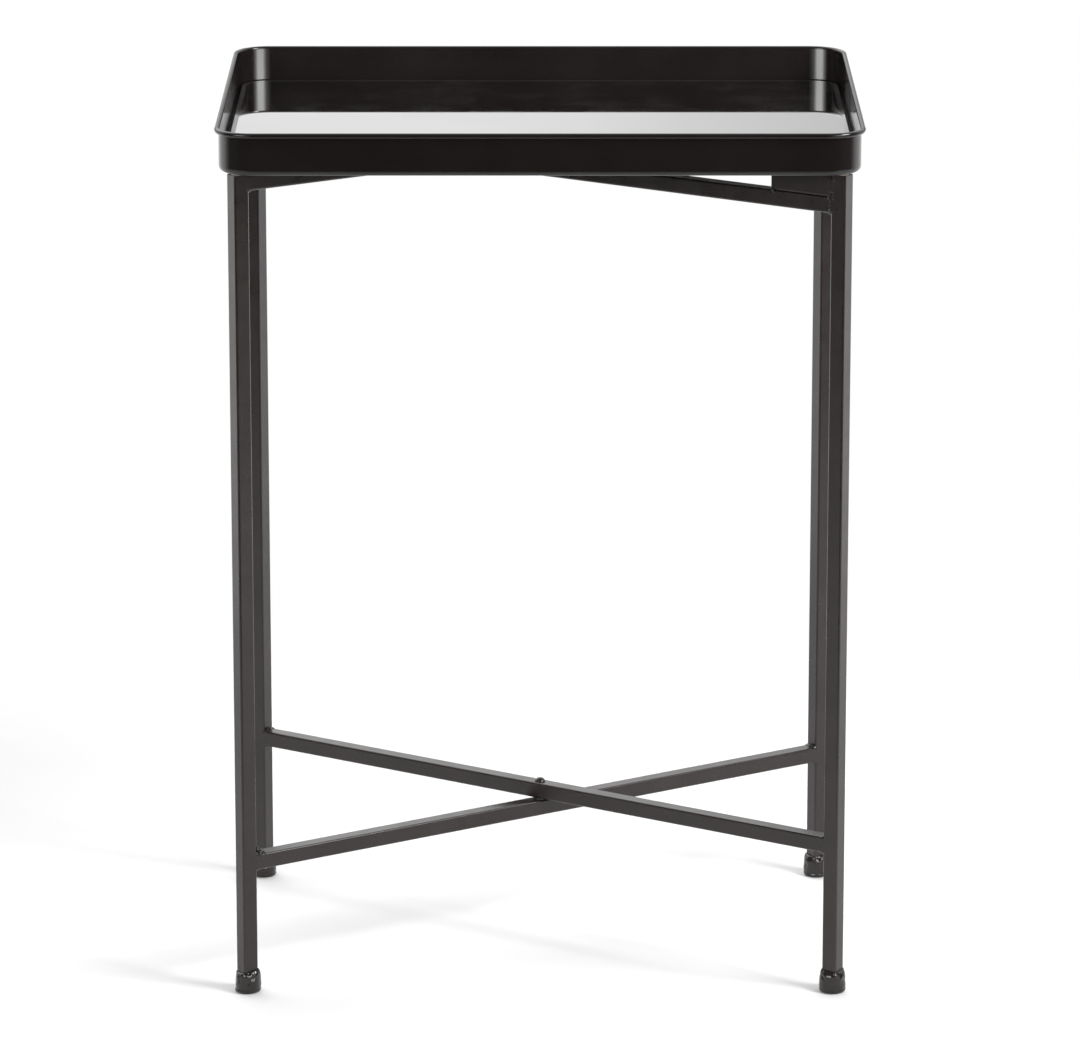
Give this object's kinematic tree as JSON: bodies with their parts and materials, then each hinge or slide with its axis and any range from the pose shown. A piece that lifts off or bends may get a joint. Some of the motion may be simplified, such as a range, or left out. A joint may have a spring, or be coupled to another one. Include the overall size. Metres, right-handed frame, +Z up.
{
  "type": "folding tray table",
  "caption": "Folding side table: a rimmed metal tray with a mirror floor rests on crossed square-tube frames that close like scissors on a shared upright pivot line.",
  "frame": {"origin": "on the floor under the centre of the table, where the upright line through both pivot rivets meets the floor", "axes": "+Z up along the pivot line, +X along the long side of the tray, -Y the front"},
  "size_m": [0.47, 0.35, 0.6585],
  "materials": {
    "frame_paint": "satin black powder coat",
    "rivet_paint": "satin black powder coat",
    "tray_enamel": "satin black enamel",
    "mirror_glass": "polished",
    "foot_plastic": "glossy",
    "plug_plastic": "matte",
    "spacer_nylon": "matte",
    "bumper_rubber": "soft matte",
    "tape_foam": "matte"
  },
  "bodies": {
    "outer_frame": {"leg_front_left": "frame_paint", "foot_front_left": "foot_plastic", "leg_plug_front_left": "plug_plastic", "bumper_front_left": "bumper_rubber", "leg_back_right": "frame_paint", "foot_back_right": "foot_plastic", "leg_plug_back_right": "plug_plastic", "bumper_back_right": "bumper_rubber", "outer_lower_rail": "frame_paint", "outer_upper_rail": "frame_paint", "lower_pivot_rivet": "rivet_paint", "lower_pivot_spacer": "spacer_nylon", "upper_pivot_rivet": "rivet_paint", "upper_pivot_spacer": "spacer_nylon"},
    "inner_frame": {"leg_front_right": "frame_paint", "foot_front_right": "foot_plastic", "leg_plug_front_right": "plug_plastic", "bumper_front_right": "bumper_rubber", "leg_back_left": "frame_paint", "foot_back_left": "foot_plastic", "leg_plug_back_left": "plug_plastic", "bumper_back_left": "bumper_rubber", "inner_lower_rail": "frame_paint", "inner_upper_rail": "frame_paint", "raiser_front_right": "frame_paint", "raiser_back_left": "frame_paint"},
    "tray": {"tray_shell": "tray_enamel", "mirror_panel": "mirror_glass", "panel_tape": "tape_foam"}
  },
  "joints": [
    {"name": "frame_fold", "type": "hinge", "parent": "outer_frame", "child": "inner_frame", "pos_m": [0, 0, 0.1], "axis": [0, 0, 1], "range_deg": [-109.5, 60.9]},
    {"name": "tray_lift", "type": "slide", "parent": "outer_frame", "child": "tray", "axis": [0, 0, 1], "range_m": [0, 0.25]}
  ]
}
